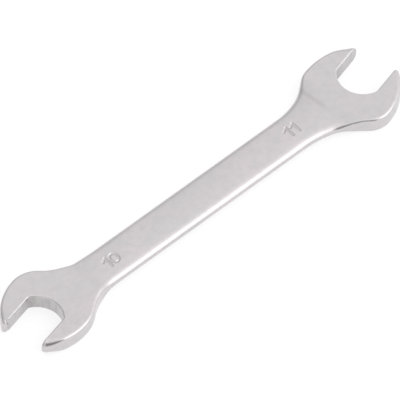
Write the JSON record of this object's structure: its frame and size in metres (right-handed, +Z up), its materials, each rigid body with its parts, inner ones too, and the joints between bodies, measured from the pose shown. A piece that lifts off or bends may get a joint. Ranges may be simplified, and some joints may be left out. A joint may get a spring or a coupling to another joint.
{
  "type": "open end wrench",
  "caption": "Flat forged double open-end wrench with an 11 mm jaw turned 15 degrees from the shank and a 10 mm jaw turned 13 degrees.",
  "frame": {"origin": "middle of the wrench's box at its base, on the plane that both heads' undersides rest on", "axes": "+X along the shank towards the 11 mm head, +Y across the shank, +Z up through the thickness"},
  "size_m": [0.1164, 0.0226, 0.0044],
  "materials": {
    "satin_plate": "satin nickel-chrome plate on forged steel"
  },
  "bodies": {
    "root": {"wrench_forging": "satin_plate"}
  },
  "joints": []
}
